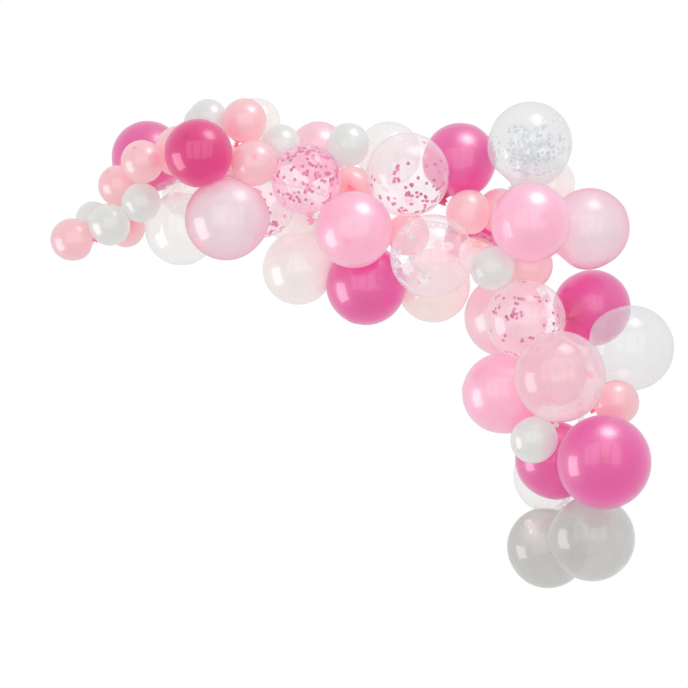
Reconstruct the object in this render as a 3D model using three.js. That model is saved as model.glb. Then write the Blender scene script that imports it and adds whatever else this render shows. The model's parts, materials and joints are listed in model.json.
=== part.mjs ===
// A balloon garland: knotted latex balloons pressed together along a flat plastic tape that is hung
// on a wall. Millimetres. X runs to the right along the wall, Y goes into the wall, Z is up, and the
// origin is on the back of the tape where the middle wall hook holds it.
import * as THREE from "three";

// The tape that every knot is pushed into.
const TAPE_WIDTH = 20;
const TAPE_THICKNESS = 1.5;
const TAPE_TAB_LENGTH = 60;
const TAPE_STEPS = 56;
const TAPE_END_STEPS = 4;

// Where the wall hooks hold the back of the tape, across the wall and up, and the tape's route
// through them. It starts and ends with a straight tab.
const LEFT_HOOK = [-737, 46];
const MIDDLE_HOOK = [0, 0];
const LOWER_HOOK = [568, -548];
const TAPE_START = [-841, -12];
const TAPE_ROUTE = [
  LEFT_HOOK, [-644, 102], [-522, 142], [-392, 130], [-229, 99], [-102, 46],
  MIDDLE_HOOK, [130, -9], [246, -29], [334, -72], [403, -122], [458, -200], [496, -302], [536, -418],
  LOWER_HOOK, [557, -679], [525, -809],
];
const TAPE_FOOT_DIRECTION = [-0.25, -0.97];

// Clearances and how hard the balloons press on each other.
const SKIN_GAP = 0.3;
const PRESS = 0.95;

// How the balloons find their depth: they are pushed apart, held to their place on the wall and
// drawn to the tape, over and over, as hands do when they pack a garland. The drawing lasts until
// a free balloon's depth would have faded nearly to nothing. Then the pushing goes on alone.
const WALL_DRIFT = 0.12;
const WALL_HOLD = 0.08;
const DEPTH_EASE = 0.25;
const GATHER = 0.012;
const FADED_TO = 1 / 300;
const GATHER_ROUNDS = Math.round(-Math.log(FADED_TO) / GATHER);
const LOOSEN_ROUNDS = Math.round(GATHER_ROUNDS / 4);

// Necks and knots. A balloon under LARGE_FROM is one of the little fillers.
const LARGE_FROM = 150;
const LARGE_TAIL = { neck: 7.5, lip: 12.5, length: 30, reach: 62 };
const SMALL_TAIL = { neck: 5, lip: 8.5, length: 20, reach: 44 };
const TAIL_CHOICES = 260;
const KNOT_SHARE = 0.62;
const ROOT_FLARE = 2.9;
const ROOT_OUT = 1.04;

// How strongly a neck is drawn to the tape, or to the place where its knot shows, against the
// open room that it would like. A knot that shows stands nearer to the wall than its balloon.
const TAPE_PULL = 1.6;
const SEEN_KNOT_PULL = 4;
const SEEN_KNOT_DEPTH = 0.7;

// Facets: sides round a balloon, and how far its corners stand out so that it keeps its size.
const LARGE_SIDES = 11;
const SMALL_SIDES = 9;
const LARGE_RINGS = [24, 50, 76, 102, 129];
const SMALL_RINGS = [29, 62, 95, 127];
const CORNER_SWELL = 1.025;

// A blown-up balloon is a ball that swells a little towards its neck, like a pear: by how much, and
// between which angles from the crown.
const PEAR = 0.045;
const PEAR_FROM = 90;
const PEAR_TO = 135;

const FINISHES = {
  hot_pink: { color: 0xeb508c, roughness: 0.25 },
  pearl_pink: { color: 0xfcbed7, roughness: 0.3 },
  light_pink: { color: 0xf9c4d2, roughness: 0.35 },
  pale_pink: { color: 0xf3d9de, roughness: 0.3 },
  peach: { color: 0xf3d4d2, roughness: 0.35 },
  white: { color: 0xe8e4e1, roughness: 0.3 },
  clear: { color: 0xf2f0ee, roughness: 0.15, opacity: 0.45 },
  confetti: { color: 0xf6f1f2, roughness: 0.12, opacity: 0.35 },
  salmon: { color: 0xf8b4b9, roughness: 0.4 },
  small_white: { color: 0xe6e8e6, roughness: 0.4 },
  small_peach: { color: 0xf2d8d4, roughness: 0.4 },
  tape: { color: 0xeef0f0, roughness: 0.3, opacity: 0.7 },
};

// Every balloon: name, finish, place across the wall, height, diameter, and the depth that it was
// packed at before it settled, where the front of the garland is negative.
const BALLOONS = [
  ["hot_pink_balloon_1", "hot_pink", -693, 191, 209, 42],
  ["hot_pink_balloon_2", "hot_pink", -538, 193, 194, -180],
  ["hot_pink_balloon_3", "hot_pink", 218, 180, 212, 60],
  ["hot_pink_balloon_4", "hot_pink", -55, -186, 232, -30],
  ["hot_pink_balloon_5", "hot_pink", 608, -251, 223, 60],
  ["hot_pink_balloon_6", "hot_pink", 622, -693, 270, -180],
  ["hot_pink_balloon_7", "hot_pink", 486, -690, 223, -30],
  ["hot_pink_balloon_8", "hot_pink", 258, -55, 162, 72],
  ["pearl_pink_balloon_1", "pearl_pink", -91, -29, 220, -180],
  ["pearl_pink_balloon_2", "pearl_pink", 418, -7, 229, -150],
  ["pearl_pink_balloon_3", "pearl_pink", 339, -499, 232, 30],
  ["light_pink_balloon_1", "light_pink", -194, 209, 165, 90],
  ["light_pink_balloon_2", "light_pink", 351, -276, 238, 90],
  ["light_pink_balloon_3", "light_pink", 488, -440, 200, 130],
  ["pale_pink_balloon_1", "pale_pink", -458, 3, 238, -60],
  ["pale_pink_balloon_2", "pale_pink", 594, -20, 232, 30],
  ["peach_balloon_1", "peach", 142, -188, 212, 60],
  ["white_balloon_1", "white", -374, 290, 139, 60],
  ["white_balloon_2", "white", 473, 110, 162, 60],
  ["white_balloon_3", "white", -252, -139, 206, 30],
  ["white_balloon_4", "white", 476, -953, 232, 60],
  ["white_balloon_5", "white", -267, 12, 151, 90],
  ["clear_balloon_1", "clear", -571, 90, 162, 108],
  ["clear_balloon_2", "clear", -592, -23, 209, 60],
  ["clear_balloon_3", "clear", 12, 200, 183, 90],
  ["clear_balloon_4", "clear", 713, -368, 246, -30],
  ["clear_balloon_5", "clear", 497, -450, 261, -150],
  ["clear_balloon_6", "clear", 490, -740, 226, 90],
  ["clear_balloon_7", "clear", 597, -918, 246, -30],
  ["pink_confetti_balloon_1", "confetti", -229, 120, 200, -30],
  ["pink_confetti_balloon_2", "confetti", 65, 133, 238, -60],
  ["pink_confetti_balloon_3", "confetti", 400, -287, 229, -30],
  ["pink_confetti_balloon_4", "confetti", -357, 46, 186, 90],
  ["white_confetti_balloon_1", "confetti", 132, -106, 238, -150],
  ["white_confetti_balloon_2", "confetti", 419, 222, 241, -60],
  ["small_salmon_balloon_1", "salmon", -702, 171, 122, -150],
  ["small_salmon_balloon_2", "salmon", -597, 203, 145, -60],
  ["small_salmon_balloon_3", "salmon", -773, 104, 119, 0],
  ["small_salmon_balloon_4", "salmon", -908, -54, 122, 0],
  ["small_salmon_balloon_5", "salmon", -754, -20, 110, 90],
  ["small_salmon_balloon_6", "salmon", -377, 165, 133, -150],
  ["small_salmon_balloon_7", "salmon", -406, 289, 128, -120],
  ["small_salmon_balloon_8", "salmon", -99, 93, 133, 30],
  ["small_salmon_balloon_9", "salmon", 334, 32, 128, 0],
  ["small_salmon_balloon_10", "salmon", 242, 26, 128, -90],
  ["small_salmon_balloon_11", "salmon", 418, -133, 130, -42],
  ["small_salmon_balloon_12", "salmon", 667, -525, 130, -90],
  ["small_salmon_balloon_13", "salmon", 67, -41, 122, -30],
  ["small_salmon_balloon_14", "salmon", -473, 154, 139, 30],
  ["small_white_balloon_1", "small_white", -706, 51, 113, -120],
  ["small_white_balloon_2", "small_white", -798, -10, 119, -60],
  ["small_white_balloon_3", "small_white", -848, 7, 102, 60],
  ["small_white_balloon_4", "small_white", -513, 296, 113, 0],
  ["small_white_balloon_5", "small_white", -536, 287, 99, 90],
  ["small_white_balloon_6", "small_white", -303, 220, 119, 30],
  ["small_white_balloon_7", "small_white", -103, 222, 122, -60],
  ["small_white_balloon_8", "small_white", 423, -632, 133, -180],
  ["small_white_balloon_9", "small_white", 309, -139, 128, -150],
  ["small_peach_balloon_1", "small_peach", 276, -93, 116, 0],
];

// Knots that show in front of other balloons, by the place on the wall that they point at.
const SEEN_KNOTS = {
  hot_pink_balloon_1: [-661, 96],
  hot_pink_balloon_3: [168, 32],
  hot_pink_balloon_4: [23, -32],
  pale_pink_balloon_1: [-371, 99],
  pale_pink_balloon_2: [464, -133],
  pearl_pink_balloon_3: [487, -499],
  clear_balloon_7: [508, -809],
  pink_confetti_balloon_1: [-218, 9],
  small_salmon_balloon_7: [-432, 215],
  small_salmon_balloon_12: [592, -551],
};

function tapeLine() {
  const start = new THREE.Vector2(...TAPE_START);
  const tabEnd = start.clone().add(new THREE.Vector2(TAPE_TAB_LENGTH, 0));
  const route = TAPE_ROUTE.map(([x, z]) => new THREE.Vector2(x, z));
  const foot = new THREE.Vector2(...TAPE_FOOT_DIRECTION).setLength(TAPE_TAB_LENGTH);
  const last = route[route.length - 1];
  const curve = new THREE.SplineCurve([tabEnd, ...route]);
  return [start, ...curve.getSpacedPoints(TAPE_STEPS), last.clone().add(foot)];
}

// For each point of the line, the unit direction square to it, to its left.
function sideways(line) {
  return line.map((_, i) => {
    const before = line[Math.max(i - 1, 0)];
    const after = line[Math.min(i + 1, line.length - 1)];
    const along = after.clone().sub(before).normalize();
    return new THREE.Vector2(-along.y, along.x);
  });
}

// Half a turn of points about an end of the tape, from one edge round to the other.
function roundEnd(centre, fromEdge) {
  const points = [];
  for (let i = 1; i < TAPE_END_STEPS; i += 1) {
    const turn = (i * Math.PI) / TAPE_END_STEPS;
    const arm = fromEdge.clone().multiplyScalar(TAPE_WIDTH / 2);
    points.push(arm.rotateAround(new THREE.Vector2(), -turn).add(centre));
  }
  return points;
}

function buildTape(line) {
  const sides = sideways(line);
  const left = line.map((p, i) => p.clone().addScaledVector(sides[i], TAPE_WIDTH / 2));
  const right = line.map((p, i) => p.clone().addScaledVector(sides[i], -TAPE_WIDTH / 2));
  const end = line.length - 1;
  const outline = [
    ...left,
    ...roundEnd(line[end], sides[end]),
    ...right.reverse(),
    ...roundEnd(line[0], sides[0].clone().negate()),
  ];
  const shape = new THREE.Shape(outline);
  const geometry = new THREE.ExtrudeGeometry(shape, { depth: TAPE_THICKNESS, bevelEnabled: false });
  return geometry.rotateX(Math.PI / 2);
}

// The tape as straight flat lengths, which is what the balloons are kept clear of.
function tapeLengths(line) {
  return line.slice(1).map((to, i) => {
    const from = line[i];
    const along = to.clone().sub(from);
    const length = along.length();
    along.normalize();
    return {
      centre: new THREE.Vector3((from.x + to.x) / 2, -TAPE_THICKNESS / 2, (from.y + to.y) / 2),
      along: new THREE.Vector3(along.x, 0, along.y),
      across: new THREE.Vector3(-along.y, 0, along.x),
      halfLength: length / 2 + TAPE_THICKNESS,
      halfWidth: TAPE_WIDTH / 2 + SKIN_GAP,
    };
  });
}

function nearestOnLength(piece, point) {
  const offset = point.clone().sub(piece.centre);
  const alongBy = THREE.MathUtils.clamp(offset.dot(piece.along), -piece.halfLength, piece.halfLength);
  const acrossBy = THREE.MathUtils.clamp(offset.dot(piece.across), -piece.halfWidth, piece.halfWidth);
  const inBy = THREE.MathUtils.clamp(offset.y, -TAPE_THICKNESS / 2, TAPE_THICKNESS / 2);
  const near = piece.centre.clone();
  near.addScaledVector(piece.along, alongBy);
  near.addScaledVector(piece.across, acrossBy);
  near.y += inBy;
  return near;
}

function nearestOnTape(pieces, point) {
  let best = null;
  for (const piece of pieces) {
    const near = nearestOnLength(piece, point);
    if (!best || near.distanceTo(point) < best.distanceTo(point)) {
      best = near;
    }
  }
  return best;
}

function layOut() {
  return BALLOONS.map(([name, finish, x, z, diameter, depth]) => ({
    name,
    finish,
    radius: diameter / 2,
    large: diameter >= LARGE_FROM,
    home: new THREE.Vector3(x, 0, z),
    centre: new THREE.Vector3(x, depth, z),
    front: depth < 0 ? -1 : 1,
  }));
}

// Moves a balloon by a push, easily in depth and little across the wall.
function shove(balloon, push) {
  balloon.centre.x += push.x * WALL_DRIFT;
  balloon.centre.y += push.y;
  balloon.centre.z += push.z * WALL_DRIFT;
}

function pushPairApart(a, b) {
  const apart = b.centre.clone().sub(a.centre);
  const short = (a.radius + b.radius) * PRESS - apart.length();
  if (short <= 0) {
    return;
  }
  const flat = apart.x * apart.x + apart.z * apart.z;
  const reach = (a.radius + b.radius) * PRESS;
  const wanted = Math.sqrt(Math.max(reach * reach - flat, 0));
  const order = apart.y < 0 ? -1 : 1;
  const push = apart.setLength(short / 2);
  push.y = order * (wanted - Math.abs(b.centre.y - a.centre.y)) * DEPTH_EASE;
  shove(b, push);
  shove(a, push.clone().negate());
}

function pushOffTape(balloon, pieces) {
  const near = nearestOnTape(pieces, balloon.centre);
  const away = balloon.centre.clone().sub(near);
  const short = balloon.radius * PRESS - away.length();
  if (short > 0) {
    away.y = balloon.front * Math.max(Math.abs(away.y), 1);
    shove(balloon, away.setLength(short / 2));
  }
}

// Draws a balloon that presses on nothing towards the one that it is nearest to.
function drawToNeighbour(balloon, balloons) {
  let nearest = null;
  let gap = Infinity;
  for (const other of balloons) {
    const reach = (balloon.radius + other.radius) * PRESS;
    const space = other.centre.distanceTo(balloon.centre) - reach;
    if (other !== balloon && space < gap) {
      gap = space;
      nearest = other;
    }
  }
  if (gap > 0) {
    const way = nearest.centre.clone().sub(balloon.centre);
    shove(balloon, way.setLength(gap / 2));
  }
}

function settle(balloons, pieces) {
  for (let round = 0; round < GATHER_ROUNDS + LOOSEN_ROUNDS; round += 1) {
    const pull = round < GATHER_ROUNDS ? GATHER : 0;
    for (const balloon of balloons) {
      balloon.centre.y *= 1 - pull;
      balloon.centre.x += (balloon.home.x - balloon.centre.x) * WALL_HOLD;
      balloon.centre.z += (balloon.home.z - balloon.centre.z) * WALL_HOLD;
    }
    balloons.forEach((a, i) => {
      for (const b of balloons.slice(i + 1)) {
        pushPairApart(a, b);
      }
    });
    for (const balloon of balloons) {
      drawToNeighbour(balloon, balloons);
      pushOffTape(balloon, pieces);
    }
  }
}

// The flat faces that shut a balloon in: one towards each neighbour, where the two skins would
// meet, and one towards each length of tape. Each is a direction and a distance from its centre.
function wallsRound(balloon, balloons, pieces) {
  const walls = [];
  for (const other of balloons) {
    const toOther = other.centre.clone().sub(balloon.centre);
    const apart = toOther.length();
    if (other === balloon) {
      continue;
    }
    const { radius } = balloon;
    const middle = (apart * apart + radius * radius - other.radius * other.radius) / (2 * apart);
    walls.push({ way: toOther.normalize(), distance: middle - SKIN_GAP / 2 });
  }
  for (const piece of pieces) {
    const toTape = nearestOnLength(piece, balloon.centre).sub(balloon.centre);
    const distance = toTape.length() - SKIN_GAP;
    walls.push({ way: toTape.normalize(), distance });
  }
  return walls;
}

function roomAlong(walls, direction) {
  let room = Infinity;
  for (const { way, distance } of walls) {
    const facing = way.dot(direction);
    if (facing > 0) {
      room = Math.min(room, distance / facing);
    }
  }
  return room;
}

// Directions spread evenly over a ball, in a spiral.
function spreadDirections(count) {
  const golden = Math.PI * (3 - Math.sqrt(5));
  return Array.from({ length: count }, (_, i) => {
    const height = 1 - (2 * i + 1) / count;
    const ring = Math.sqrt(1 - height * height);
    return new THREE.Vector3(Math.cos(golden * i) * ring, Math.sin(golden * i) * ring, height);
  });
}

// Picks where a balloon's neck goes: towards the tape, through a gap that leaves room for the knot.
function chooseNeck(balloon, walls, pieces, tail) {
  const knot = SEEN_KNOTS[balloon.name];
  const target = nearestOnTape(pieces, balloon.centre);
  if (knot) {
    target.set(knot[0], balloon.centre.y * SEEN_KNOT_DEPTH, knot[1]);
  }
  const straight = target.sub(balloon.centre).normalize();
  let best = { score: -Infinity };
  for (const direction of [straight, ...spreadDirections(TAIL_CHOICES)]) {
    const room = roomAlong(walls, direction) - balloon.radius;
    const open = THREE.MathUtils.clamp(room / tail.length, -1, 1);
    const score = open + (knot ? SEEN_KNOT_PULL : TAPE_PULL) * direction.dot(straight);
    if (score > best.score) {
      best = { score, direction, room };
    }
  }
  const reaches = best.room > tail.length && best.room < tail.reach;
  const length = reaches ? best.room : Math.max(Math.min(best.room, tail.length), tail.length / 2);
  return { direction: best.direction, length };
}

// Half outline of a balloon, from its crown to the rolled lip, with its middle at the origin.
function balloonProfile(balloon, tail, tailLength) {
  const body = balloon.radius * CORNER_SWELL;
  const rings = balloon.large ? LARGE_RINGS : SMALL_RINGS;
  const points = [new THREE.Vector2(0, body)];
  for (const degrees of rings) {
    const angle = THREE.MathUtils.degToRad(degrees);
    const out = body * (1 + PEAR * THREE.MathUtils.smoothstep(degrees, PEAR_FROM, PEAR_TO));
    points.push(new THREE.Vector2(Math.sin(angle) * out, Math.cos(angle) * out));
  }
  const root = -balloon.radius * ROOT_OUT;
  points.push(new THREE.Vector2(tail.neck * ROOT_FLARE, root));
  points.push(new THREE.Vector2(tail.neck, root - tailLength * KNOT_SHARE));
  points.push(new THREE.Vector2(tail.lip, -balloon.radius - tailLength));
  points.push(new THREE.Vector2(0, -balloon.radius - tailLength));
  return points.reverse();
}

// Draws each corner that lies past a wall straight back to it.
function keepInside(geometry, walls) {
  const corners = geometry.getAttribute("position");
  const corner = new THREE.Vector3();
  for (let i = 0; i < corners.count; i += 1) {
    corner.fromBufferAttribute(corners, i);
    let past = 1;
    for (const { way, distance } of walls) {
      past = Math.max(past, way.dot(corner) / distance);
    }
    corner.divideScalar(past);
    corners.setXYZ(i, corner.x, corner.y, corner.z);
  }
}

function buildBalloon(balloon, balloons, pieces) {
  const tail = balloon.large ? LARGE_TAIL : SMALL_TAIL;
  const walls = wallsRound(balloon, balloons, pieces);
  const neck = chooseNeck(balloon, walls, pieces, tail);
  const sides = balloon.large ? LARGE_SIDES : SMALL_SIDES;
  const geometry = new THREE.LatheGeometry(balloonProfile(balloon, tail, neck.length), sides);
  const down = new THREE.Vector3(0, -1, 0);
  const turn = new THREE.Quaternion().setFromUnitVectors(down, neck.direction);
  geometry.applyQuaternion(turn);
  keepInside(geometry, walls);
  return geometry;
}

function addPiece(group, name, finish, geometry) {
  const { color, roughness, opacity = 1 } = FINISHES[finish];
  const material = new THREE.MeshStandardMaterial({
    color,
    roughness,
    metalness: 0,
    opacity,
    transparent: opacity < 1,
  });
  const mesh = new THREE.Mesh(geometry, material);
  mesh.name = name;
  group.add(mesh);
  return mesh;
}

const garland = new THREE.Group();
const line = tapeLine();
const lengths = tapeLengths(line);
addPiece(garland, "garland_tape", "tape", buildTape(line));
const balloons = layOut();
settle(balloons, lengths);
for (const balloon of balloons) {
  const geometry = buildBalloon(balloon, balloons, lengths);
  const mesh = addPiece(garland, balloon.name, balloon.finish, geometry);
  mesh.position.copy(balloon.centre);
}

export default garland;
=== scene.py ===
# %% [markdown]
# # A balloon garland
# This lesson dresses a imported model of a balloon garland. The real thing is 59 latex balloons,
# blown up to two families of sizes, knotted, and pushed by their knots into the holes of a flat
# plastic tape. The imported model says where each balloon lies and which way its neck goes. Here
# each one gets its thin smooth skin, its crown, its pleated neck, its knot and its rolled lip.

# %% Load the frame
import json
import math

import bpy
import numpy as np
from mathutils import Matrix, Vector


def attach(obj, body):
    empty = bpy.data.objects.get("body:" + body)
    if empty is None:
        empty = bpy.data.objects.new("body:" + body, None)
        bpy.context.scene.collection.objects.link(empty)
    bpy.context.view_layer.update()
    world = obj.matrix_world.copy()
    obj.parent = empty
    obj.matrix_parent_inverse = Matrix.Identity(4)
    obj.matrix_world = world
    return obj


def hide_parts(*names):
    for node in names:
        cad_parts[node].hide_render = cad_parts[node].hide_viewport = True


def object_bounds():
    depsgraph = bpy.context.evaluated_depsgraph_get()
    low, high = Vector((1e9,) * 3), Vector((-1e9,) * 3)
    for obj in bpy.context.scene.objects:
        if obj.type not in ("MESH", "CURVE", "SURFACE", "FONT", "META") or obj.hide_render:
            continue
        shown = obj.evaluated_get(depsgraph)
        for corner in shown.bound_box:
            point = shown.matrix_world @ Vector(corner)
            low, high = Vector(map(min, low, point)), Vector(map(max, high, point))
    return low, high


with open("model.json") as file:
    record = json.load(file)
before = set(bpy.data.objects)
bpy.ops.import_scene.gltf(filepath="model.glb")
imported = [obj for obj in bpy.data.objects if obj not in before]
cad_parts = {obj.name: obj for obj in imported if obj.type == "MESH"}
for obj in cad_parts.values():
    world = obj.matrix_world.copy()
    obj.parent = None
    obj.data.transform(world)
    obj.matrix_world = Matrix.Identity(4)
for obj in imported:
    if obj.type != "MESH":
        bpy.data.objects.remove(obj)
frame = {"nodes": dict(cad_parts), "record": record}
cad_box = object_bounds()
slot_of = {row["node"]: row["material_slot"] for row in frame["record"]["subparts"]}
TAPE = "garland_tape"
balloon_names = [name for name in slot_of if name != TAPE]
print(len(balloon_names), "balloons on one tape, which spans", cad_box)

# %% [markdown]
# ## Finding each balloon in the frame
# A packed balloon is a coarse ball with a neck, and it is cut flat where it presses on its
# neighbours. Everything that we need can be read from its corners. Most of them lie on one ball,
# so we try many balls, each through four corners, and keep the one that the most corners lie on.
# The corners that stand well off that ball are the neck's, and they give its direction.

# %% Read the balls and the necks
CORNER_SWELL = 1.025
SMALL_UNDER = 0.075
BALL_SEED = 59
TRIES = 2500
SPREAD_FOUR = 1e-5
ON_THE_BALL = 5e-5
OFF_THE_BALL = 1.05


def corners_of(node):
    """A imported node's corners, each once, in metres."""
    mesh = frame["nodes"][node].data
    places = np.empty(len(mesh.vertices) * 3)
    mesh.vertices.foreach_get("co", places)
    return np.unique(places.reshape(-1, 3).round(6), axis=0)


def fit_ball(points, dice):
    """The middle and radius of the ball that the most points lie on. A middle that is equally
    far from four points solves three linear equations, so all the tries are solved at once.
    Four points that lie nearly in one plane give no sound ball, and are passed over."""
    fours = points[dice.integers(0, len(points), (TRIES, 4))]
    sides = 2 * (fours[:, 1:] - fours[:, :1])
    heights = (fours[:, 1:] ** 2 - fours[:, :1] ** 2).sum(axis=2)
    sound = np.abs(np.linalg.det(sides)) > SPREAD_FOUR
    middles = np.linalg.solve(sides[sound], heights[sound][..., None])[..., 0]
    radii = np.linalg.norm(fours[sound][:, 0] - middles, axis=1)
    reach = np.linalg.norm(points[None] - middles[:, None], axis=2)
    votes = (np.abs(reach - radii[:, None]) < ON_THE_BALL).sum(axis=1)
    best = votes.argmax()
    return middles[best], radii[best], votes[best]


def read_balloon(node, dice):
    """Where a balloon lies: its middle, its true radius, the way its neck goes and how long the
    neck is, from the ball to the lip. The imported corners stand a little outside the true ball,
    so that their flat faces lie half in and half out of it."""
    points = corners_of(node)
    middle, swollen, votes = fit_ball(points, dice)
    arms = points - middle
    far = np.linalg.norm(arms, axis=1) > swollen * OFF_THE_BALL
    way = arms[far].mean(axis=0)
    way = way / np.linalg.norm(way)
    radius = swollen / CORNER_SWELL
    tail = (arms[far] @ way).max() - radius
    return {"middle": middle, "radius": radius, "way": way, "tail": tail, "votes": int(votes)}


dice = np.random.default_rng(BALL_SEED)
balloons = {name: read_balloon(name, dice) for name in balloon_names}
print("radii in mm:", sorted(round(b["radius"] * 1000) for b in balloons.values()))
print("fewest corners on a ball:", min(b["votes"] for b in balloons.values()))

# %% [markdown]
# ## Reading the tape
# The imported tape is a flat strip. The edge of its back face is one closed row of corners: down
# one side, round the far end, up the other side and round the near end. Halfway between the two
# sides lies the line that the tape follows.

# %% Follow the tape's edge
TAPE_THICKNESS = 0.0015
TAPE_WIDTH = 0.02
END_CORNERS = 3
BACK_FACE = -1e-5


def back_edge(node):
    """The corners round the back face of the tape, in order, as places across and up. An edge
    of the outline belongs to one triangle of the face, and an edge inside it to two."""
    mesh = frame["nodes"][node].data
    corners, index = np.unique(
        np.array([v.co for v in mesh.vertices]).round(6), axis=0, return_inverse=True
    )
    faces = index.reshape(-1)[np.array([p.vertices[:] for p in mesh.polygons])]
    back = faces[(corners[faces][..., 1] > BACK_FACE).all(axis=1)]
    edges = np.sort(np.concatenate([back[:, [0, 1]], back[:, [1, 2]], back[:, [2, 0]]]), axis=1)
    edges, uses = np.unique(edges, axis=0, return_counts=True)
    beside = {}
    for a, b in edges[uses == 1]:
        beside.setdefault(a, []).append(b)
        beside.setdefault(b, []).append(a)
    row = [edges[uses == 1][0, 0]]
    while len(row) < len(beside):
        row.append(next(b for b in beside[row[-1]] if b not in row[-2:]))
    return corners[row][:, [0, 2]]


def centre_line(edge):
    """Halfway points between the two sides. The tape starts at its left end, so the row is
    turned to begin just past the corners that round that end off."""
    edge = np.roll(edge, -(edge[:, 0].argmin() + END_CORNERS // 2 + 1), axis=0)
    count = len(edge) // 2 - END_CORNERS
    one_side = edge[:count]
    other_side = edge[count + END_CORNERS:][:count]
    return (one_side + other_side[::-1]) / 2


line = centre_line(back_edge(TAPE))
steps = np.linalg.norm(np.diff(line, axis=0), axis=1)
print("the tape is", round(steps.sum(), 3), "m long, in", len(steps), "straight lengths")

# %% [markdown]
# ## Where skins press on each other
# Two blown-up balloons that are pushed together meet in a flat round face, because the pressure
# is nearly the same in both. The plane of that face is where both balls are equally far by the
# power rule: the distance to the middle squared, less the radius squared, is the same for both.
# Each balloon is kept on its own side of all such planes, so no two skins ever cut each other.
# The tape is kept clear of in the same way, by a plane at the nearest point of each length of it.

# %% Find the planes round each balloon
SKIN_GAP = 0.0003
BEND_COVER = 0.0015
LOOK_ROUND = 0.02


def planes_to_balloons(name):
    """Directions and distances, from a balloon's middle, of the planes shared with the others."""
    own = balloons[name]
    others = [b for other, b in balloons.items() if other != name]
    arms = np.array([b["middle"] for b in others]) - own["middle"]
    radii = np.array([b["radius"] for b in others])
    apart = np.linalg.norm(arms, axis=1)
    middle = (apart**2 + own["radius"] ** 2 - radii**2) / (2 * apart)
    return arms / apart[:, None], middle - SKIN_GAP / 2


def planes_to_tape(middle):
    """The same for the tape: each straight length is a thin flat box, and its nearest point is
    found by holding the balloon's place, seen along the box's own axes, within the box. The
    boxes reach a little past their ends, so that they cover the bends between them."""
    along = np.diff(line, axis=0) / steps[:, None]
    across = np.stack([-along[:, 1], along[:, 0]], axis=1)
    centre = (line[1:] + line[:-1]) / 2
    flat = middle[[0, 2]] - centre
    reach = steps / 2 + BEND_COVER
    by_along = np.clip((flat * along).sum(axis=1), -reach, reach)
    by_across = np.clip((flat * across).sum(axis=1), -TAPE_WIDTH / 2, TAPE_WIDTH / 2)
    near = centre + along * by_along[:, None] + across * by_across[:, None]
    depth = np.clip(middle[1], -TAPE_THICKNESS, 0)
    arms = np.stack([near[:, 0], np.full(len(near), depth), near[:, 1]], axis=1) - middle
    apart = np.linalg.norm(arms, axis=1)
    return arms / apart[:, None], apart - SKIN_GAP


for name, balloon in balloons.items():
    ways, distances = planes_to_balloons(name)
    tape_ways, tape_distances = planes_to_tape(balloon["middle"])
    ways = np.concatenate([ways, tape_ways])
    distances = np.concatenate([distances, tape_distances])
    in_reach = distances < balloon["radius"] + balloon["tail"] + LOOK_ROUND
    balloon["ways"], balloon["distances"] = ways[in_reach], distances[in_reach]
print("planes round a balloon:", sorted(len(b["distances"]) for b in balloons.values()))

# %% [markdown]
# ## Meshes from arrays
# Every shape below is worked out as rings of points. A ring is a closed row of points, and rings
# that follow each other are joined by four-sided faces. A surface that ends in a point gets one
# extra point there and a fan of triangles, so that it has no hole at its poles.

# %% Helpers for closed ring surfaces


def ring_faces(rings, sides, tip_first, tip_last):
    """Faces that join a stack of rings, and fans that shut its two ends at the given corners.
    They point outward when the rings turn anticlockwise as seen from the last one."""
    start = np.arange(rings * sides).reshape(rings, sides)
    after = np.roll(start, -1, axis=1)
    quads = np.stack([start[:-1], after[:-1], after[1:], start[1:]], axis=-1).reshape(-1, 4)
    first = np.stack([np.full(sides, tip_first), after[0], start[0]], axis=-1)
    last = np.stack([np.full(sides, tip_last), start[-1], after[-1]], axis=-1)
    return quads.tolist() + first.tolist() + last.tolist()


def new_piece(name, points, faces, smooth=True, **values):
    """A finished object at the origin, with named numbers on its points for the materials."""
    mesh = bpy.data.meshes.new(name)
    mesh.from_pydata(points.tolist(), [], faces)
    mesh.polygons.foreach_set("use_smooth", np.full(len(mesh.polygons), smooth))
    for label, numbers in values.items():
        layer = mesh.attributes.new(label, "FLOAT", "POINT")
        layer.data.foreach_set("value", np.asarray(numbers, dtype=np.float32))
    mesh.update()
    piece = bpy.data.objects.new(name, mesh)
    bpy.context.scene.collection.objects.link(piece)
    return piece


def square_to(way):
    """Two directions at right angles to a direction and to each other."""
    side = np.cross(way, [0.0, 0.0, 1.0])
    if np.linalg.norm(side) < 0.1:
        side = np.cross(way, [1.0, 0.0, 0.0])
    side = side / np.linalg.norm(side)
    return side, np.cross(way, side)


print("three rings of four points and two tips have", len(ring_faces(3, 4, 12, 13)), "faces")

# %% [markdown]
# ## The shape of a balloon
# The outline runs from the crown, where the latex last dripped off the mould and is thickest,
# over a ball that swells a little like a pear, and in to the neck, where the skin gathers in
# pleats. Past the knot the short tail flares out and ends in a rolled bead. A plain ball with a
# cone would be quicker, but the pear and the knot are what tell a balloon from a bubble.

# %% The outline, from crown to lip
NECK = {"large": 0.0072, "small": 0.0048}
LIP = {"large": 0.0122, "small": 0.0082}
BEAD = 0.0016
PEAR = 0.055
PEAR_FROM = math.radians(88)
PEAR_TO = math.radians(136)
CROWN_RISE = 0.012
CROWN_SPREAD = math.radians(7)
SHOULDER_LEAVES = 0.75
SHOULDER_ARRIVES = 1.1
NECK_ROOT = 0.35
WAIST = {"at": 0.15, "length": 0.14, "depth": 0.35}
KNOT = {"at": 0.42, "length": 0.16, "swell": 0.75}
FLARE_FROM = 0.62
FLARE_CURVE = 1.4
BEAD_TURNS = (0.5, -0.9)
INSIDE = {"width": 0.4, "depth": 0.12}
BEAD_RINGS = 7
RINGS = {"large": (40, 14, 16), "small": (30, 11, 13)}
SIDES = {"large": 72, "small": 52}


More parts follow.
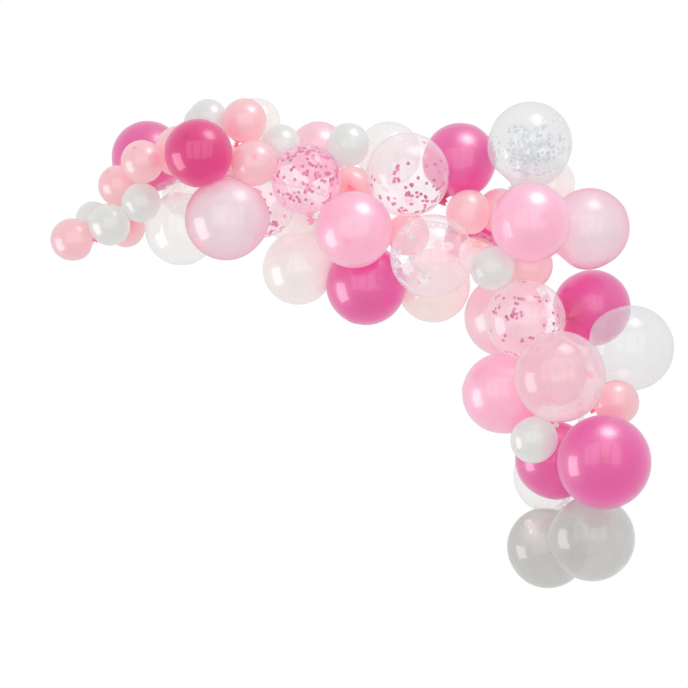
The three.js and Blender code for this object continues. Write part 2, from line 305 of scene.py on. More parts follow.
def shoulder(start, slope, end, tail, count):
    """A curve from the pear to the neck, as a cubic between two points with two given
    directions: it leaves the pear along the pear's own slope and arrives along the neck."""
    t = np.linspace(0, 1, count + 1)[1:, None]
    arrive = np.array([0.0, -1.0]) * tail * SHOULDER_ARRIVES
    a, b = 2 * t**3 - 3 * t**2 + 1, t**3 - 2 * t**2 + t
    c, d = -2 * t**3 + 3 * t**2, t**3 - t**2
    return a * start + b * slope + c * end + d * arrive


def outline(radius, tail, family):
    """Half the outline as (distance from the axis, place along it), crown end up. Also how far
    each ring is gathered, from 0 on the pear to 1 at the knot. A pear is a ball whose radius
    grows smoothly towards the neck. Past the shoulder the tail narrows at a waist, swells to the
    knot, flares to the lip and turns round a bead and a little way back inside. The waist and
    the knot are bell curves, and all their places are shares of the tail."""
    on_ball, on_shoulder, on_tail = RINGS[family]
    neck, lip = NECK[family], LIP[family]
    angle = np.linspace(0, PEAR_TO, on_ball + 1)[1:]
    share = np.clip((angle - PEAR_FROM) / (PEAR_TO - PEAR_FROM), 0, 1)
    reach = radius * (1 + PEAR * share * share * (3 - 2 * share))
    rise = 1 + CROWN_RISE * np.exp(-((angle / CROWN_SPREAD) ** 2))
    ball = np.stack([np.sin(angle), np.cos(angle) * rise], axis=1) * reach[:, None]
    slope = ball[-1] - ball[-2]
    slope *= radius * SHOULDER_LEAVES / np.linalg.norm(slope)
    root = -radius - tail * NECK_ROOT
    curve = shoulder(ball[-1], slope, np.array([neck, root]), tail, on_shoulder)
    t = np.linspace(0, 1, on_tail + 1)[1:]
    waist = 1 - WAIST["depth"] * np.exp(-(((t - WAIST["at"]) / WAIST["length"]) ** 2))
    knot = KNOT["swell"] * np.exp(-(((t - KNOT["at"]) / KNOT["length"]) ** 2))
    flare = np.clip((t - FLARE_FROM) / (1 - FLARE_FROM), 0, 1) ** FLARE_CURVE
    width = neck * (waist + knot) * (1 - flare) + (lip - BEAD) * flare
    mouth = -radius - tail + BEAD
    stem = np.stack([width, root + (mouth + BEAD - root) * t], axis=1)
    turn = np.linspace(*BEAD_TURNS, BEAD_RINGS + 1)[1:] * math.pi
    bead = np.stack([lip - BEAD + np.cos(turn) * BEAD, mouth + np.sin(turn) * BEAD], axis=1)
    inside = np.array([[lip * INSIDE["width"], mouth + tail * INSIDE["depth"]]])
    rings = np.concatenate([ball, curve, stem, bead, inside])
    gathered = np.concatenate([
        np.zeros(on_ball),
        np.linspace(0, 1, on_shoulder + 1)[1:],
        np.ones(on_tail + BEAD_RINGS + 1),
    ])
    return rings, gathered


sample_rings, _ = outline(0.1, 0.03, "large")
print("an outline has", len(sample_rings), "rings")

# %% [markdown]
# ## Turning and pressing the outline
# The rings are turned round the neck's direction. Near the neck they get pleats, which wind a
# little round it because a knot is tied with a twist. Then the whole skin is pressed: a point
# that reaches past a plane is drawn straight back to it. The drawing back is soft, so the edge
# of a flat face is rounded, as it is on a real balloon.
#
# Each point also carries a number for how thick the latex is there: most in the neck, much at the
# crown, and a little more all over on a large balloon that is blown up less than the others. The
# materials turn that number into a deeper colour.

# %% Make the skins
PLEATS = 13
PLEAT_DEPTH = 0.09
TWIST = 0.9
TAIL_BEND = 0.22
PRESS_POWER = 70
PLEATS_START = 3
INNER_TIP = 0.2
SKIN_SEED = 7
CROWN_THICKNESS = 0.7
CROWN_PATCH = 0.8
NECK_THICKENS = 1.6
FULL_RADIUS = 0.128
THICKER = 4.0
MOST_THICKER = 0.14


def pressed(arms, balloon):
    """Points, as arms from the middle, drawn back behind the balloon's planes. How far a point
    is past a plane is the ratio of its height over it to the plane's distance. The ratios and
    1 are added as high powers, which is a maximum with its corner rounded."""
    past = np.clip(arms @ balloon["ways"].T / balloon["distances"], 0, None)
    return arms / ((1 + (past**PRESS_POWER).sum(axis=1)) ** (1 / PRESS_POWER))[:, None]


def skin_thickness(rings, gathered, radius, family):
    """How thick the latex is on each ring, from 0 to 1: a bell curve round the crown and a
    power of how far the ring is gathered. Large balloons get more, the smaller they are."""
    angle = np.arctan2(rings[:, 0], rings[:, 1])
    patch = np.exp(-((angle / (CROWN_SPREAD * CROWN_PATCH)) ** 2))
    thick = patch * CROWN_THICKNESS + gathered**NECK_THICKENS
    thick = np.concatenate([np.repeat(thick, SIDES[family]), [CROWN_THICKNESS, 1.0]])
    if family == "large":
        extra = np.clip((FULL_RADIUS - radius) * THICKER, 0, MOST_THICKER)
        thick = np.minimum(thick + extra, 1)
    return thick


def build_skin(name, dice):
    """One balloon's skin as rings round its neck's direction, pleated where it is gathered,
    with a tail that bends a little to one side, and pressed by its neighbours. A pleat is a
    wave of the ring's width round the neck, and it winds on from ring to ring."""
    balloon = balloons[name]
    radius, tail, way = balloon["radius"], balloon["tail"], balloon["way"]
    family = "small" if radius < SMALL_UNDER else "large"
    rings, gathered = outline(radius, tail, family)
    sides = SIDES[family]
    side, other = square_to(way)
    turn = dice.uniform(0, 2 * math.pi) + np.arange(sides) / sides * 2 * math.pi
    wound = PLEATS * (turn[None, :] + TWIST * gathered[:, None])
    pleats = 1 + PLEAT_DEPTH * gathered[:, None] ** PLEATS_START * np.cos(wound)
    width = rings[:, :1] * pleats
    bend = TAIL_BEND * np.clip(-rings[:, 1] - radius, 0, None) ** 2 / tail
    across = width * np.cos(turn) + bend[:, None]
    arms = (
        across[..., None] * side
        + (width * np.sin(turn))[..., None] * other
        - rings[:, 1][:, None, None] * way
    ).reshape(-1, 3)
    crown = -way * radius * (1 + CROWN_RISE)
    inner = way * (radius + tail - BEAD - tail * INNER_TIP) + side * bend[-1]
    points = np.concatenate([arms, [crown], [inner]])
    points = pressed(points, balloon) + balloon["middle"]
    faces = ring_faces(len(rings), sides, len(points) - 2, len(points) - 1)
    thick = skin_thickness(rings, gathered, radius, family)
    return new_piece(name + "_skin", points, faces, thickness=thick)


dice = np.random.default_rng(SKIN_SEED)
skins = {name: build_skin(name, dice) for name in balloon_names}
print(sum(len(s.data.polygons) for s in skins.values()), "faces in the skins")

# %% [markdown]
# ## The tape
# The real tape is a band with a row of round holes, and each knot is pushed through one. A band
# with holes is made of equal cells. A cell is the space between a circle and the oblong round
# it, which is one ring of faces, and the cells are laid end to end along the line and welded.

# %% Make the tape
CELL = 0.022
HOLE_RADIUS = 0.0042
CELL_CORNERS = 24
END_NARROWS = 0.3
WELD_WITHIN = 0.00005


def along_line(distance):
    """Points on the tape's line at given distances from its start, and the directions square
    to it there. Past its ends the line runs straight on."""
    travelled = np.concatenate([[0], np.cumsum(steps)])
    spot = np.stack([np.interp(distance, travelled, line[:, k]) for k in (0, 1)], axis=-1)
    ahead = np.gradient(line, travelled, axis=0)
    ahead = np.stack([np.interp(distance, travelled, ahead[:, k]) for k in (0, 1)], axis=-1)
    ahead /= np.linalg.norm(ahead, axis=-1, keepdims=True)
    extra = distance - np.clip(distance, 0, travelled[-1])
    return spot + ahead * extra[..., None], np.stack([-ahead[..., 1], ahead[..., 0]], axis=-1)


def build_tape():
    """The tape as cells. Round each cell runs an outer ring on its oblong edge and an inner one
    on the hole, and both are laid twice, on the front and the back face of the tape. Towards
    its ends the tape narrows as a half circle does, down to a short straight edge. Walls stand
    between the two faces in the holes, along the sides and across the two ends."""
    length = steps.sum() + TAPE_WIDTH
    count = round(length / CELL)
    cell = length / count
    side = CELL_CORNERS // 4
    edge = np.linspace(-1, 1, side + 1)[:-1]
    square = np.concatenate([
        np.stack([edge, -np.ones(side)], axis=1), np.stack([np.ones(side), edge], axis=1),
        np.stack([-edge, np.ones(side)], axis=1), np.stack([-np.ones(side), -edge], axis=1),
    ])
    outer = square * [cell / 2, TAPE_WIDTH / 2]
    inner = outer / np.linalg.norm(outer, axis=1, keepdims=True) * HOLE_RADIUS
    middles = (np.arange(count) + 0.5) * cell - TAPE_WIDTH / 2
    local = np.stack([outer, inner])[None] + np.stack([middles, 0 * middles], axis=1)[:, None, None]
    distance, off = local[..., 0], local[..., 1]
    to_end = np.minimum(distance + TAPE_WIDTH / 2, length - TAPE_WIDTH / 2 - distance)
    short = np.clip(1 - to_end / (TAPE_WIDTH / 2), 0, 1)
    off = off * np.maximum(np.sqrt(1 - short**2), END_NARROWS)
    spot, square_way = along_line(distance)
    flat = spot + square_way * off[..., None]
    points = np.stack([flat[..., 0], np.zeros(off.shape), flat[..., 1]], axis=-1)
    front = points - [0, TAPE_THICKNESS, 0]
    both = np.stack([points, front], axis=1)
    index = np.arange(both[..., 0].size).reshape(both.shape[:-1])
    after = np.roll(index, -1, axis=-1)
    back_out, back_in = index[:, 0, 0], index[:, 0, 1]
    front_out, front_in = index[:, 1, 0], index[:, 1, 1]
    faces = [
        np.stack([back_out, back_in, after[:, 0, 1], after[:, 0, 0]], axis=-1),
        np.stack([front_out, after[:, 1, 0], after[:, 1, 1], front_in], axis=-1),
        np.stack([back_in, front_in, after[:, 1, 1], after[:, 0, 1]], axis=-1),
        np.stack([back_out, after[:, 0, 0], after[:, 1, 0], front_out], axis=-1),
    ]
    rim = np.ones(CELL_CORNERS, dtype=bool)
    rim[side : 2 * side] = False
    rim[3 * side :] = False
    rims = faces[3][:, rim]
    ends = np.concatenate([faces[3][-1, side : 2 * side], faces[3][0, 3 * side :]])
    quads = np.concatenate([f.reshape(-1, 4) for f in (*faces[:3], rims, ends)])
    piece = new_piece("garland_tape_band", both.reshape(-1, 3), quads.tolist(), smooth=False)
    weld = piece.modifiers.new("weld", "WELD")
    weld.merge_threshold = WELD_WITHIN
    return piece, count


tape, holes = build_tape()
print("the tape has", holes, "holes")

# %% [markdown]
# ## Confetti
# Some clear balloons hold paper dots. A little static holds them to the inside of the skin, more
# of them on one side than on the other, and in clumps. Each dot is a thin round tile with few
# faces, laid just inside the skin and tilted a little, and the dots of one balloon are one piece.
# A thousand objects would be slow, and a texture of dots would lie flat on the skin.

# %% Scatter the confetti
DOT_RADIUS = 0.0053
DOT_THICKNESS = 0.0003
DOT_CORNERS = 10
DOT_TILT = 0.175
DOT_INSET = 0.99
DOT_DEPTHS = (0.0012, 0.0026)
DRAWN_FOR_EACH = 12
LEAN_POWER = 2.2
NECK_CLEARANCE = 0.8
CLUMPED = 0.55
CLUMP_DOTS = 5
CLUMP_SPREAD = 0.13
CONFETTI_SEED = 11
# How many dots a balloon holds, and which way they lean: to the right, to the back and up.
CONFETTI = {
    "pink_confetti_balloon_1": (190, (0.1, -0.2, 0.0)),
    "pink_confetti_balloon_2": (130, (0.35, -0.35, -0.9)),
    "pink_confetti_balloon_3": (90, (0.2, -0.3, -0.2)),
    "pink_confetti_balloon_4": (120, (0.0, 0.0, -0.6)),
    "white_confetti_balloon_1": (170, (-1.9, 0.0, -0.4)),
    "white_confetti_balloon_2": (380, (-0.1, -2.4, -0.9)),
}


def scatter(name, count, lean, dice):
    """Dots inside one balloon. Directions are drawn evenly, and kept with a chance that grows
    with how far they point the way that the confetti leans. About half of them then cling close
    to one of a few others, because the static gathers paper in clumps. A dot that lies over
    the edge of a flat face bends with the skin, so its rim is pressed by the same planes."""
    balloon = balloons[name]
    ways = dice.normal(size=(count * DRAWN_FOR_EACH, 3))
    ways /= np.linalg.norm(ways, axis=1, keepdims=True)
    chance = np.exp(LEAN_POWER * (ways @ np.array(lean)))
    clear_of_neck = ways @ balloon["way"] < NECK_CLEARANCE
    order = dice.random(len(ways)) ** (1 / chance)
    ways = ways[clear_of_neck][np.argsort(-order[clear_of_neck])[:count]]
    clings = dice.random(count) < CLUMPED
    close_to = ways[dice.integers(0, count // CLUMP_DOTS, count)]
    ways = np.where(clings[:, None], close_to + ways * CLUMP_SPREAD, ways)
    ways /= np.linalg.norm(ways, axis=1, keepdims=True)
    middles = pressed(ways * balloon["radius"], balloon)
    middles -= ways * dice.uniform(*DOT_DEPTHS, (count, 1))
    facing = ways + dice.normal(size=(count, 3)) * DOT_TILT
    facing /= np.linalg.norm(facing, axis=1, keepdims=True)
    side = np.cross(facing, dice.normal(size=(count, 3)))
    side /= np.linalg.norm(side, axis=1, keepdims=True)
    other = np.cross(facing, side)
    turn = np.arange(DOT_CORNERS) / DOT_CORNERS * 2 * math.pi
    rim = np.cos(turn)[:, None] * side[:, None] + np.sin(turn)[:, None] * other[:, None]
    rim *= DOT_RADIUS
    flat = (middles[:, None] + rim).reshape(-1, 3)
    flat = (pressed(flat / DOT_INSET, balloon) * DOT_INSET).reshape(rim.shape)
    lift = np.array([0.5, -0.5])[:, None, None] * DOT_THICKNESS * facing[:, None, None]
    points = flat[:, None] + lift + balloon["middle"]
    index = np.arange(count * 2 * DOT_CORNERS).reshape(count, 2, DOT_CORNERS)
    after = np.roll(index, -1, axis=-1)
    walls = np.stack([index[:, 1], after[:, 1], after[:, 0], index[:, 0]], axis=-1)
    faces = index[:, 0].tolist() + index[:, 1, ::-1].tolist() + walls.reshape(-1, 4).tolist()
    shade = np.repeat(dice.random(count), 2 * DOT_CORNERS)
    return new_piece(name + "_dots", points.reshape(-1, 3), faces, smooth=False, shade=shade)


dice = np.random.default_rng(CONFETTI_SEED)
dots = {name: scatter(name, count, lean, dice) for name, (count, lean) in CONFETTI.items()}
print(sum(count for count, _ in CONFETTI.values()), "confetti dots")

# %% [markdown]
# ## What latex looks like
# Stretched latex is smooth and a little cloudy. It is thinnest and palest over the ball, and
# thick and deep in colour at the crown, in the pleats and on the lip. One node group works that
# out from the number that each skin carries on its points, and adds a faint cloudiness. All the
# finishes share the group, because they differ only in a few values.

# %% Helpers for nodes


def new_group(name, inputs, outputs):
    """An empty shader node group with named sockets, given as {name: (type, value)}."""
    group = bpy.data.node_groups.new(name, "ShaderNodeTree")
    for label, (kind, value) in inputs.items():
        socket = group.interface.new_socket(label, in_out="INPUT", socket_type="NodeSocket" + kind)
        socket.default_value = value
    for label, kind in outputs.items():
        group.interface.new_socket(label, in_out="OUTPUT", socket_type="NodeSocket" + kind)
    return group


def node(tree, kind, inputs=None, **settings):
    """A node with its settings and its input values, or the sockets that feed them."""
    made = tree.nodes.new("ShaderNode" + kind)
    for label, value in settings.items():
        setattr(made, label, value)
    for label, value in (inputs or {}).items():
        if isinstance(value, bpy.types.NodeSocket):
            tree.links.new(value, made.inputs[label])
        else:
            made.inputs[label].default_value = value
    return made


print("the node helpers are ready")

# %% The latex group
CLOUD_SCALE = 16.0
CLOUD_RANGE = (0.3, 0.7)
CLOUDS_DULL = 0.5
CLOUDS_COVER = 1.6
THICK_DULLS = 0.2
THICK_COVERS = 0.45
WRINKLE_SCALE = 420.0


def latex_group():
    """Colour: thin mixed to thick by the skin's thickness, with clouds a few centimetres wide.
    Roughness: higher where the skin is gathered. Height: fine wrinkles, only where it is thick.
    Cover: how much of what is behind it the skin hides, for see-through latex."""
    group = new_group(
        "latex",
        {
            "Thin": ("Color", (1.0, 1.0, 1.0, 1.0)),
            "Thick": ("Color", (1.0, 1.0, 1.0, 1.0)),
            "Roughness": ("Float", 0.3),
            "Cover": ("Float", 1.0),
            "Clouds": ("Float", 0.06),
        },
        {"Color": "Color", "Roughness": "Float", "Cover": "Float", "Height": "Float"},
    )
    start, end = group.nodes.new("NodeGroupInput"), group.nodes.new("NodeGroupOutput")
    given = start.outputs
    thick = node(group, "Attribute", attribute_name="thickness").outputs["Fac"]
    place = node(group, "TexCoord").outputs["Object"]
    cloud = node(group, "TexNoise", {"Vector": place, "Scale": CLOUD_SCALE, "Detail": 3.0})
    low, high = CLOUD_RANGE
    cloud = node(group, "MapRange", {
        "Value": cloud.outputs["Fac"], "From Min": low, "From Max": high, "To Min": -1.0,
    }).outputs["Result"]
    cloud = node(group, "Math", {0: cloud, 1: given["Clouds"]}, operation="MULTIPLY").outputs[0]
    base = node(group, "Mix", {0: thick, 6: given["Thin"], 7: given["Thick"]}, data_type="RGBA")
    bright = node(group, "Math", {0: cloud, 1: 1.0}, operation="ADD").outputs[0]
    colour = node(group, "VectorMath", {0: base.outputs[2], "Scale": bright}, operation="SCALE")
    dull = node(group, "Math", {0: thick, 1: THICK_DULLS, 2: given["Roughness"]},
                operation="MULTIPLY_ADD")
    dull = node(group, "Math", {0: cloud, 1: CLOUDS_DULL, 2: dull.outputs[0]},
                operation="MULTIPLY_ADD")
    cover = node(group, "Math", {0: cloud, 1: CLOUDS_COVER, 2: given["Cover"]},
                 operation="MULTIPLY_ADD")
    cover = node(group, "Math", {0: thick, 1: THICK_COVERS, 2: cover.outputs[0]},
                 operation="MULTIPLY_ADD")
    cover.use_clamp = True
    grain = node(group, "TexNoise", {"Vector": place, "Scale": WRINKLE_SCALE, "Detail": 2.0})
    height = node(group, "Math", {0: grain.outputs["Fac"], 1: thick}, operation="MULTIPLY")
    group.links.new(colour.outputs["Vector"], end.inputs["Color"])
    group.links.new(dull.outputs[0], end.inputs["Roughness"])
    group.links.new(cover.outputs[0], end.inputs["Cover"])
    group.links.new(height.outputs[0], end.inputs["Height"])
    return group


LATEX = latex_group()
print("the latex group gives", [o.name for o in LATEX.interface.items_tree if o.in_out == "OUTPUT"])

# %% [markdown]
# ## Skin, glow and gloss
# A balloon is lit from within as much as from outside: light that enters on its far side comes
# out through the near skin. A weak glow in the skin's own colour stands for that light, since
# many rounds of light through 59 skins would be slow. Over the skin lies a thin gloss, which
# mirrors the lamps sharply, while the skin under it spreads them into a broad pearl shine.

# %% The shaders that all finishes share
GLOW = 0.68
LATEX_IOR = 1.45
FILM_IOR = 1.1
WRINKLE_STRENGTH = 0.25
WRINKLE_HEIGHT = 0.0005
SHEEN_ROUGHNESS = 0.45
GLOSS_FACING = 0.065
GLOSS_AT_EDGE = 0.4
GLOSS_POWER = 5.0
GLOSS_ROUGHNESS = 0.08


def colour(text):
    """A colour written as six hexadecimal digits, as the linear values that Blender wants."""
    shades = np.array([int(text[k : k + 2], 16) for k in (0, 2, 4)]) / 255
    linear = np.where(shades < 0.04045, shades / 12.92, ((shades + 0.055) / 1.055) ** 2.4)
    return (*linear.tolist(), 1.0)


def start_material(name):
    """A new material, its node tree with nothing in it but the output, and that output."""
    material = bpy.data.materials.new(name)
    material.use_nodes = True
    tree = material.node_tree
    tree.nodes.clear()
    return material, tree, tree.nodes.new("ShaderNodeOutputMaterial")


def latex(tree, thin, thick, roughness, cover=1.0, clouds=0.03, film="ffffff"):
    """The group, set for one finish, and the shader that it feeds, with its glow. The coat is a
    film that can be tinted: the eye looks through more of it towards the edges, which get
    deeper in colour. A white film leaves the colour as it is. Its own index of refraction is
    low, because the gloss is added apart from it."""
    skin = node(tree, "Group", node_tree=LATEX)
    skin.inputs["Thin"].default_value = colour(thin)
    skin.inputs["Thick"].default_value = colour(thick)
    skin.inputs["Roughness"].default_value = roughness
    skin.inputs["Cover"].default_value = cover
    skin.inputs["Clouds"].default_value = clouds
    bump = node(tree, "Bump", {
        "Height": skin.outputs["Height"],
        "Strength": WRINKLE_STRENGTH,
        "Distance": WRINKLE_HEIGHT,
    })
    shader = node(tree, "BsdfPrincipled", {
        "Base Color": skin.outputs["Color"],
        "Roughness": skin.outputs["Roughness"],
        "Normal": bump.outputs["Normal"],
        "IOR": LATEX_IOR,
        "Emission Color": skin.outputs["Color"],
        "Emission Strength": GLOW,
        "Coat Weight": 1.0,
        "Coat IOR": FILM_IOR,
        "Coat Tint": colour(film),
    })
    return skin, shader


def glossed(tree, under):
    """A shader with a thin gloss over it. It mirrors a little where the eye looks at it straight,
    and more and more towards the edges, by the fifth power of how far it faces away."""
    facing = node(tree, "LayerWeight", {"Blend": 0.5}).outputs["Facing"]
    steep = node(tree, "Math", {0: facing, 1: GLOSS_POWER}, operation="POWER").outputs[0]
    mirror = node(tree, "Math", {0: steep, 1: GLOSS_AT_EDGE, 2: GLOSS_FACING},
                  operation="MULTIPLY_ADD").outputs[0]
    gloss = node(tree, "BsdfAnisotropic", {"Roughness": GLOSS_ROUGHNESS})
    both = node(tree, "MixShader", {0: mirror})
    tree.links.new(under.outputs[0], both.inputs[1])
    tree.links.new(gloss.outputs[0], both.inputs[2])
    return both


print("the gloss mirrors", GLOSS_FACING, "straight on and", GLOSS_FACING + GLOSS_AT_EDGE, "at a rim")

# %% [markdown]
# ## Solid latex
# The pink, salmon and small balloons hide what is behind them. Their rims look paler than their
# middles, as if dusted, which is what a strong pale sheen gives. Light also spreads inside the
# skin and the air behind it, red the farthest, so a little subsurface softens the shading.

# %% The material of solid latex
SOLID_ROUGHNESS = 0.42
PEARL_LEVEL = 0.8
SOLID_SHEEN = 1.0
SPREAD_WEIGHT = 0.35
SPREAD_COLOURS = (1.0, 0.35, 0.5)
SPREAD_DEPTH = 0.06


def solid_latex(name, thin, thick, edge, pearl):
    """Latex that hides what is behind it. The base gives the broad pearl shine, more of it the
    higher its index of refraction, and the sheen is the pale bloom at the rims."""
    material, tree, out = start_material(name)
    _, shader = latex(tree, thin, thick, SOLID_ROUGHNESS)
    shader.inputs["IOR"].default_value = pearl
    shader.inputs["Specular IOR Level"].default_value = PEARL_LEVEL
    shader.inputs["Sheen Weight"].default_value = SOLID_SHEEN
    shader.inputs["Sheen Roughness"].default_value = SHEEN_ROUGHNESS
    shader.inputs["Sheen Tint"].default_value = colour(edge)
    shader.inputs["Subsurface Weight"].default_value = SPREAD_WEIGHT
    shader.inputs["Subsurface Radius"].default_value = SPREAD_COLOURS
    shader.inputs["Subsurface Scale"].default_value = SPREAD_DEPTH
    tree.links.new(glossed(tree, shader).outputs[0], out.inputs["Surface"])
    return material


print("solid latex spreads light over", SPREAD_DEPTH, "m")

# %% [markdown]
# ## Sheer and clear latex
# Latex with little or no dye lets the background through, less of it towards the edges, where
# the eye looks through more skin. The gloss isn't see-through, so it is mixed in last. Real
# refraction is left out: a skin a tenth of a millimetre thick doesn't bend what is behind it.

# %% The material of sheer latex
SHEER_ROUGHNESS = 0.36
SHEER_CLOUDS = 0.04
EDGE_POWER = 3.0


def sheer_latex(name, thin, thick, cover, edge_cover, edge="ffffff", sheen=0.5, film="ffffff"):
    """Latex that shows what is behind it. It hides a share of it, cover, and towards the rims
    up to edge_cover more, by the third power of how far it faces away."""
    material, tree, out = start_material(name)
    skin, shader = latex(tree, thin, thick, SHEER_ROUGHNESS, cover, SHEER_CLOUDS, film)
    shader.inputs["Sheen Weight"].default_value = sheen
    shader.inputs["Sheen Roughness"].default_value = SHEEN_ROUGHNESS
    shader.inputs["Sheen Tint"].default_value = colour(edge)
    facing = node(tree, "LayerWeight", {"Blend": 0.5}).outputs["Facing"]
    side_on = node(tree, "Math", {0: facing, 1: EDGE_POWER}, operation="POWER").outputs[0]
    total = node(tree, "Math", {0: side_on, 1: edge_cover, 2: skin.outputs["Cover"]},
                 operation="MULTIPLY_ADD")
    total.use_clamp = True
    tree.links.new(total.outputs[0], shader.inputs["Alpha"])
    tree.links.new(glossed(tree, shader).outputs[0], out.inputs["Surface"])
    return material


print("sheer latex is rough by", SHEER_ROUGHNESS)

# %% [markdown]
# ## One material for each finish
# Each finish has a colour where the skin is thin, one where it is thick, and one for the bloom
# at its rims. A solid one then has its pearl, and a see-through one has how much it hides in its
# middle and at its rims. Only pale pink has a tinted film, because its rims are deeper in colour
# than its middle.

# %% Make the latex materials
finishes = {
    "hot_pink": solid_latex("hot_pink_pearl", "be1c7c", "a40848", "ffc4e4", 1.75),
    "deep_pink": solid_latex("deep_pink_pearl", "c00668", "9c0238", "ffa8d4", 1.4),
    "pearl_pink": solid_latex("pink_pearl", "d494ac", "d87c98", "ffe4f2", 1.75),
    "light_pink": solid_latex("light_pink_latex", "cca4ae", "d48698", "ffd8e6", 1.7),
    "salmon": solid_latex("salmon_latex", "cf9fa5", "d06470", "ffe4e6", 1.55),
    "small_white": solid_latex("white_latex", "babcb9", "b2b2ae", "ffffff", 1.5),
    "small_peach": solid_latex("peach_latex", "d4c2c0", "cea29c", "ffeae6", 1.5),
    "peach": sheer_latex("sheer_peach", "ccc2be", "deb2ae", 0.84, 0.12, "ffe0da"),
    "pale_pink": sheer_latex(
        "sheer_pale_pink", "c6cccd", "f2b4c4", 0.8, 0.2, "ff9cc0", 1.0, film="ffe9ef"
    ),
    "white": sheer_latex("sheer_white", "cec8c5", "c4beba", 0.8, 0.16),
    # Mist and haze are white and clear latex made darker, as painted shade for the two lowest
    # balloons, which hang in shade. Mist also lets more through than white does, and haze less than
    # clear does.
    "shaded_mist": sheer_latex("misty_latex_painted_shade", "959590", "c4c3bf", 0.55, 0.25),
    "haze": sheer_latex("hazy_latex_painted_shade", "a2a29f", "c4c3bf", 0.66, 0.2),
    "clear": sheer_latex("clear_latex", "c8c9c6", "d2d1ce", 0.32, 0.4),
    "crystal": sheer_latex("crystal_latex", "cca6b0", "d4b4ba", 0.5, 0.3, sheen=0.7),
    "confetti": sheer_latex("confetti_latex", "b6bbbb", "b6b9b9", 0.28, 0.4),
    # Rosy and blush are clear latex tinted pink, as painted pink light that the pink confetti and
    # the pink balloons round them throw on the skin.
    "rosy": sheer_latex("rosy_latex", "d2c2c8", "dac0ca", 0.2, 0.45, "fff0f4", 0.7),
    "blush": sheer_latex("blush_latex", "d8aabe", "cc90a8", 0.28, 0.4, "ffe4ee", 0.7),
}
print(len(finishes), "latex finishes")

# %% [markdown]
# ## Paper and plastic
# The dots are tissue paper, each a slightly different shade, which its points carry as a number.
# The tape is clear plastic, a little scratched. Both are so small in the picture that a noise
# for their fibres and scratches does all that a finer pattern could.

# %% Make the paper and plastic materials
FIBRE_SCALE = 700.0
FIBRE_SHARE = 0.3
PAPER_ROUGHNESS = 0.7
PAPER_PAINTED_GLOW = 0.3
SCRATCH_SCALE = 260.0
PLASTIC_ROUGHNESS = (0.12, 0.4)
PLASTIC_COVER = (0.12, 0.34)


def paper(name, light, dark):
    """Matt paper with a faint fibre. It is thin, and a painted glow in its own colour stands for the
    light that comes through it.
    """
    material, tree, out = start_material(name)
    shade = node(tree, "Attribute", attribute_name="shade").outputs["Fac"]
    place = node(tree, "TexCoord").outputs["Object"]
    fibre = node(tree, "TexNoise", {"Vector": place, "Scale": FIBRE_SCALE, "Detail": 3.0})
    fibre = fibre.outputs["Fac"]
    mixed = node(tree, "Math", {0: fibre, 1: FIBRE_SHARE, 2: shade}, operation="MULTIPLY_ADD")
    mixed = mixed.outputs[0]
    tint = node(tree, "Mix", {0: mixed, 6: colour(light), 7: colour(dark)}, data_type="RGBA")
    shader = node(tree, "BsdfPrincipled", {
        "Base Color": tint.outputs[2],
        "Roughness": PAPER_ROUGHNESS,
        "Emission Color": tint.outputs[2],
        "Emission Strength": PAPER_PAINTED_GLOW,
    })
    tree.links.new(shader.outputs[0], out.inputs["Surface"])
    return material


def clear_plastic(name):
    """Clear film with dull scratches. Where it is scratched it is rougher and hides more."""
    material, tree, out = start_material(name)
    place = node(tree, "TexCoord").outputs["Object"]
    scratch = node(tree, "TexNoise", {"Vector": place, "Scale": SCRATCH_SCALE, "Detail": 4.0})
    scratch = scratch.outputs["Fac"]
    low, high = PLASTIC_ROUGHNESS
    dull = node(tree, "MapRange", {"Value": scratch, "To Min": low, "To Max": high})
    low, high = PLASTIC_COVER
    haze = node(tree, "MapRange", {"Value": scratch, "To Min": low, "To Max": high})
    shader = node(tree, "BsdfPrincipled", {
        "Base Color": colour("eceef0"),
        "Roughness": dull.outputs["Result"],
        "Alpha": haze.outputs["Result"],
    })
    tree.links.new(shader.outputs[0], out.inputs["Surface"])
    return material


pink_paper = paper("pink_paper", "e45fa4", "b8347e")
white_paper = paper("white_paper", "eef1f4", "c8cdd4")
tape_plastic = clear_plastic("tape_plastic")
print("paper and plastic are ready")

# %% [markdown]
# ## Putting the pieces on the frame
# Nothing on a garland moves, so every piece rides on the one body. Each skin takes the place of
# its packed balloon, and the band takes the place of the imported tape.
#
# Two balloons of one kind are never quite alike. The photo shows ten that are clearer, hazier,
# rosier or deeper in colour than their fellows, so these take a finish of their own. The rosier
# skins carry painted pink light from the confetti and the pink balloons round them, and the two
# lowest, one white and one clear, are darker with painted shade. In the table they keep the slot of
# their kind.

# %% Dress the frame


def fix(piece, material, stands_for=None):
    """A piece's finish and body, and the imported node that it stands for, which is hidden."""
    piece.data.materials.append(material)
    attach(piece, "root")
    if stands_for:
        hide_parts(stands_for)


look_of = dict(slot_of)
# The rosy and blush skins carry painted pink light, and the haze and mist skins of the two lowest
# balloons carry painted shade.
look_of.update({name: "rosy" for name in CONFETTI if name.startswith("pink")})
look_of.update({
    "pink_confetti_balloon_1": "blush", "white_confetti_balloon_1": "rosy",
    "clear_balloon_4": "confetti", "clear_balloon_5": "crystal",
    "clear_balloon_7": "haze", "white_balloon_4": "shaded_mist",
    "hot_pink_balloon_2": "deep_pink",
})
for name, skin in skins.items():
    fix(skin, finishes[look_of[name]], name)
for name, piece in dots.items():
    pink = name.startswith("pink")
    fix(piece, pink_paper if pink else white_paper)
fix(tape, tape_plastic, TAPE)
print(len(skins) + len(dots) + 1, "pieces are dressed")

# %% [markdown]
# ## The floor
# The garland hangs, and the picture shows no floor. A pale one lies well below it as a stand-in,
# for views from other sides. The gloss doesn't mirror it, so it draws no line on the balloons.

# %% Make the floor
FLOOR_DROP = 0.9
FLOOR_REACH = 2.0
FLOOR_CLOUD_SCALE = 2.0
FLOOR_SHADES = ("f6f5f4", "faf9f8")
FLOOR_ROUGHNESS = 0.8


